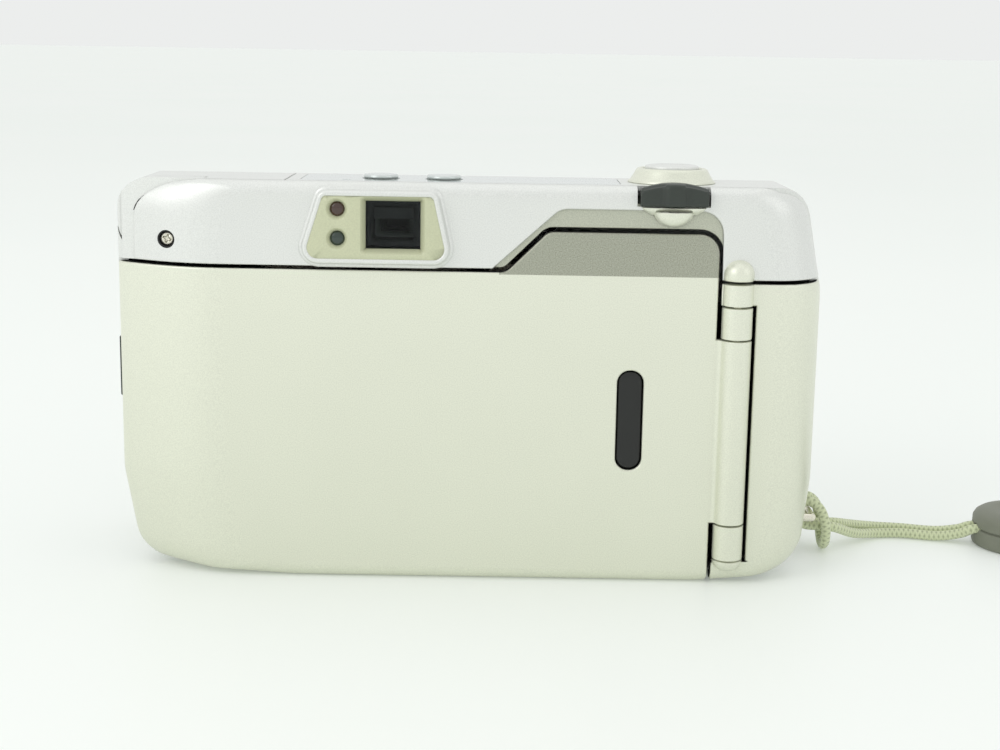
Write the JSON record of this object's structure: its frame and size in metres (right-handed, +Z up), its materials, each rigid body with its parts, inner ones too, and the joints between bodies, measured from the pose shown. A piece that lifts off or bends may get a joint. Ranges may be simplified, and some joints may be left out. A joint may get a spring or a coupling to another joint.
{
  "type": "compact film camera",
  "caption": "Compact zoom film camera with a hinged stepped back, film window, optical finder, pop-up flash, retracting lens, shutter and zoom controls, and a wrist strap.",
  "frame": {"origin": "mouth of the tripod socket, on the base plane, below the lens axis and at mid-depth of the body", "axes": "+X to the user's right behind the camera, +Y towards the subject along the lens axis, +Z up"},
  "size_m": [0.2115, 0.0512, 0.0701],
  "materials": {
    "silver_paint": "metallic silver lacquer on moulded plastic, satin",
    "champagne_paint": "metallic champagne lacquer on moulded plastic, satin",
    "bezel_paint": "cream lacquer, satin",
    "dark_plastic": "dark grey moulded plastic, fine grain",
    "black_plastic": "black moulded plastic, matt",
    "smoked_window": "smoked acrylic, polished",
    "optical_glass": "coated optical glass",
    "clear_window": "clear acrylic diffuser with fine ribs",
    "amber_lamp": "amber lamp lens",
    "green_lamp": "green lamp lens",
    "plated_steel": "bright plated steel",
    "chassis_plastic": "black glass-filled plastic",
    "barrel_finish": "satin grey barrel",
    "ring_finish": "turned aluminium, satin",
    "gear_plastic": "natural acetal",
    "foam": "black light-seal foam",
    "board": "green circuit board",
    "capacitor_sleeve": "printed blue sleeve",
    "gold_contact": "gold-plated contact",
    "battery_wrap": "dark battery wrap",
    "strap_fabric": "braided off-white cord",
    "slider_plastic": "grey moulded plastic, fine grain"
  },
  "bodies": {
    "body": {"front_cover": "silver_paint", "rear_cover": "silver_paint", "right_cover": "champagne_paint", "chassis": "chassis_plastic", "finder_bezel": "bezel_paint", "eyepiece": "optical_glass", "focus_lamp": "amber_lamp", "flash_lamp": "green_lamp", "finder_tube": "black_plastic", "finder_objective": "optical_glass", "front_window": "smoked_window", "timer_lamp": "amber_lamp", "top_panel": "silver_paint", "shutter_ring": "champagne_paint", "tripod_bush": "plated_steel", "cover_screws": "plated_steel", "hinge_bracket": "champagne_paint", "hinge_pin": "plated_steel", "dx_contacts": "gold_contact", "light_seals": "foam", "main_board": "board", "flash_capacitor": "capacitor_sleeve", "zoom_motor": "plated_steel", "spool_motor": "plated_steel", "battery": "battery_wrap", "battery_holder": "black_plastic", "lens_guide": "black_plastic", "lens_bezel": "ring_finish", "strap_lug": "plated_steel", "strap_cord": "strap_fabric", "strap_slider": "slider_plastic", "strap_hank": "strap_fabric"},
    "door": {"rear_door": "champagne_paint", "film_window": "smoked_window", "plate_spring": "plated_steel"},
    "plate": {"pressure_plate": "black_plastic"},
    "latch": {"door_latch": "dark_plastic"},
    "shutter_release": {"shutter_button": "ring_finish"},
    "rocker": {"zoom_rocker": "dark_plastic"},
    "mode_key": {"mode_button": "ring_finish"},
    "timer_key": {"timer_button": "ring_finish"},
    "flash": {"flash_head": "silver_paint", "flash_window": "clear_window", "flash_reflector": "plated_steel", "flash_tube": "clear_window"},
    "barrel_1": {"lens_barrel_1": "barrel_finish"},
    "barrel_2": {"lens_barrel_2": "barrel_finish"},
    "barrel_3": {"lens_barrel_3": "ring_finish", "shutter_unit": "black_plastic", "front_lens": "optical_glass"},
    "blade_upper": {"barrier_upper": "dark_plastic"},
    "blade_lower": {"barrier_lower": "dark_plastic"},
    "spool": {"take_up_spool": "black_plastic"},
    "gear_a": {"idler_gear_a": "gear_plastic"},
    "gear_b": {"idler_gear_b": "gear_plastic"},
    "gear_c": {"idler_gear_c": "gear_plastic"},
    "fork": {"rewind_fork": "gear_plastic"},
    "finder_zoom": {"finder_zoom_lens": "optical_glass"},
    "battery_lid": {"battery_door": "silver_paint"}
  },
  "joints": [
    {"name": "door_hinge", "type": "hinge", "parent": "body", "child": "door", "pos_m": [0.0521, -0.0196, 0.026], "axis": [0, 0, 1], "range_deg": [0, 115]},
    {"name": "plate_travel", "type": "slide", "parent": "door", "child": "plate", "axis": [0, -1, 0], "range_m": [0, 0.0008], "stiffness_N_per_m": 300},
    {"name": "latch_slide", "type": "slide", "parent": "body", "child": "latch", "axis": [0, 0, -1], "range_m": [0, 0.0035], "stiffness_N_per_m": 150},
    {"name": "shutter_press", "type": "slide", "parent": "body", "child": "shutter_release", "axis": [0, 0, -1], "range_m": [0, 0.0012], "stiffness_N_per_m": 400, "springref_m": -0.0005},
    {"name": "zoom_rock", "type": "hinge", "parent": "body", "child": "rocker", "pos_m": [0.041, -0.0182, 0.066], "axis": [0, 0, 1], "range_deg": [-6, 6], "stiffness_Nm_per_rad": 0.02},
    {"name": "mode_press", "type": "slide", "parent": "body", "child": "mode_key", "axis": [0, 0, -1], "range_m": [0, 0.0005], "stiffness_N_per_m": 400, "springref_m": -0.0003},
    {"name": "timer_press", "type": "slide", "parent": "body", "child": "timer_key", "axis": [0, 0, -1], "range_m": [0, 0.0005], "stiffness_N_per_m": 400, "springref_m": -0.0003},
    {"name": "flash_popup", "type": "hinge", "parent": "body", "child": "flash", "pos_m": [-0.0454, 0, 0.0607], "axis": [0, -1, 0], "range_deg": [0, 28]},
    {"name": "zoom_1", "type": "slide", "parent": "body", "child": "barrel_1", "axis": [0, 1, 0], "range_m": [0, 0.015]},
    {"name": "zoom_2", "type": "slide", "parent": "barrel_1", "child": "barrel_2", "axis": [0, 1, 0], "range_m": [0, 0.0135]},
    {"name": "zoom_3", "type": "slide", "parent": "barrel_2", "child": "barrel_3", "axis": [0, 1, 0], "range_m": [0, 0.012]},
    {"name": "barrier_open", "type": "hinge", "parent": "barrel_3", "child": "blade_upper", "pos_m": [0.0105, 0.0272, 0.027], "axis": [0, 1, 0], "range_deg": [0, 40]},
    {"name": "barrier_follow", "type": "hinge", "parent": "barrel_3", "child": "blade_lower", "pos_m": [0.0105, 0.0272, 0.027], "axis": [0, 1, 0], "range_deg": [-40, 0]},
    {"name": "spool_spin", "type": "hinge", "parent": "body", "child": "spool", "pos_m": [-0.0362, -0.005, 0.027], "axis": [0, 0, 1], "continuous": true},
    {"name": "gear_a_spin", "type": "hinge", "parent": "body", "child": "gear_a", "pos_m": [-0.0197, -0.005, 0.052], "axis": [0, 0, 1], "continuous": true},
    {"name": "gear_b_spin", "type": "hinge", "parent": "body", "child": "gear_b", "pos_m": [-0.0007, -0.005, 0.052], "axis": [0, 0, 1], "continuous": true},
    {"name": "gear_c_spin", "type": "hinge", "parent": "body", "child": "gear_c", "pos_m": [0.0183, -0.005, 0.052], "axis": [0, 0, 1], "continuous": true},
    {"name": "fork_spin", "type": "hinge", "parent": "body", "child": "fork", "pos_m": [0.0348, -0.005, 0.052], "axis": [0, 0, 1], "continuous": true},
    {"name": "finder_zoom_slide", "type": "slide", "parent": "body", "child": "finder_zoom", "axis": [0, 1, 0], "range_m": [0, 0.006]},
    {"name": "battery_lid_hinge", "type": "hinge", "parent": "body", "child": "battery_lid", "pos_m": [0.0473, 0.007, 0.00085], "axis": [0, 1, 0], "range_deg": [0, 90]}
  ],
  "couplings": [
    {"joint": "zoom_2", "follows": "zoom_1", "ratio": 0.9},
    {"joint": "zoom_3", "follows": "zoom_1", "ratio": 0.8},
    {"joint": "finder_zoom_slide", "follows": "zoom_1", "ratio": 0.4},
    {"joint": "barrier_follow", "follows": "barrier_open", "ratio": -1},
    {"joint": "gear_a_spin", "follows": "spool_spin", "ratio": -0.73684},
    {"joint": "gear_b_spin", "follows": "spool_spin", "ratio": 0.73684},
    {"joint": "gear_c_spin", "follows": "spool_spin", "ratio": -0.73684},
    {"joint": "fork_spin", "follows": "spool_spin", "ratio": 1}
  ]
}
